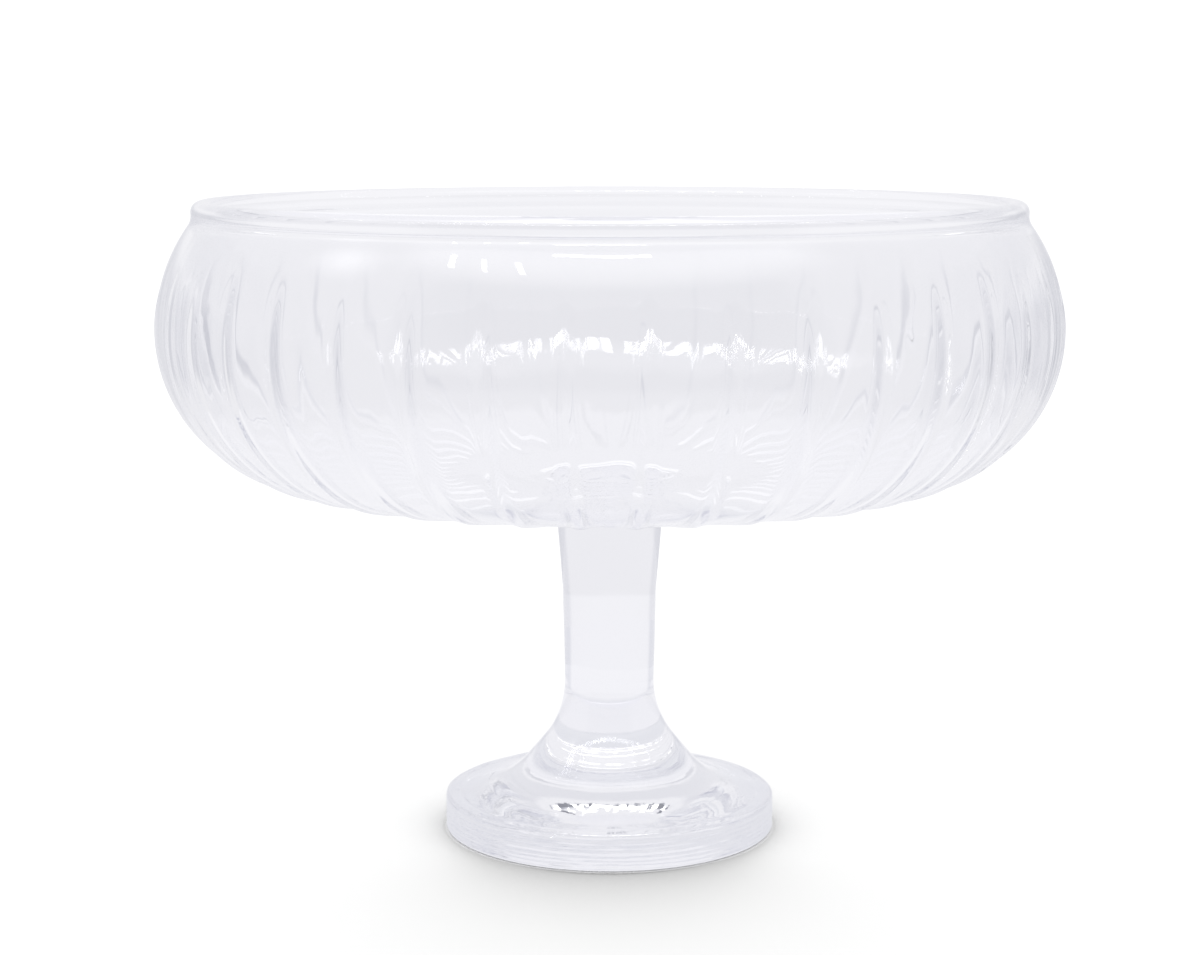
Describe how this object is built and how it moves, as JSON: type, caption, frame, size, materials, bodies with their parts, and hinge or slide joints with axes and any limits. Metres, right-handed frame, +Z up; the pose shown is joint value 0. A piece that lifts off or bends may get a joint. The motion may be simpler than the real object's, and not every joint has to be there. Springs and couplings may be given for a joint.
{
  "type": "footed salad bowl",
  "caption": "Clear glass footed salad bowl: a wide ribbed bowl with a rolled rim on a solid flared stem and a thick round foot.",
  "frame": {"origin": "centre of the foot's flat underside, on the table", "axes": "+Z up along the axis of the foot, the stem and the bowl; -Y faces the picture's camera"},
  "size_m": [0.2798, 0.2798, 0.1994],
  "materials": {
    "foot_glass": "clear soda-lime glass, fire-polished, faint tool lines round the edge",
    "stem_glass": "clear soda-lime glass, solid, drawn smooth",
    "bowl_glass": "clear soda-lime glass, mould-blown, slightly wavy, fire-polished rim"
  },
  "bodies": {
    "root": {"foot": "foot_glass", "stem": "stem_glass", "bowl": "bowl_glass"}
  },
  "joints": []
}
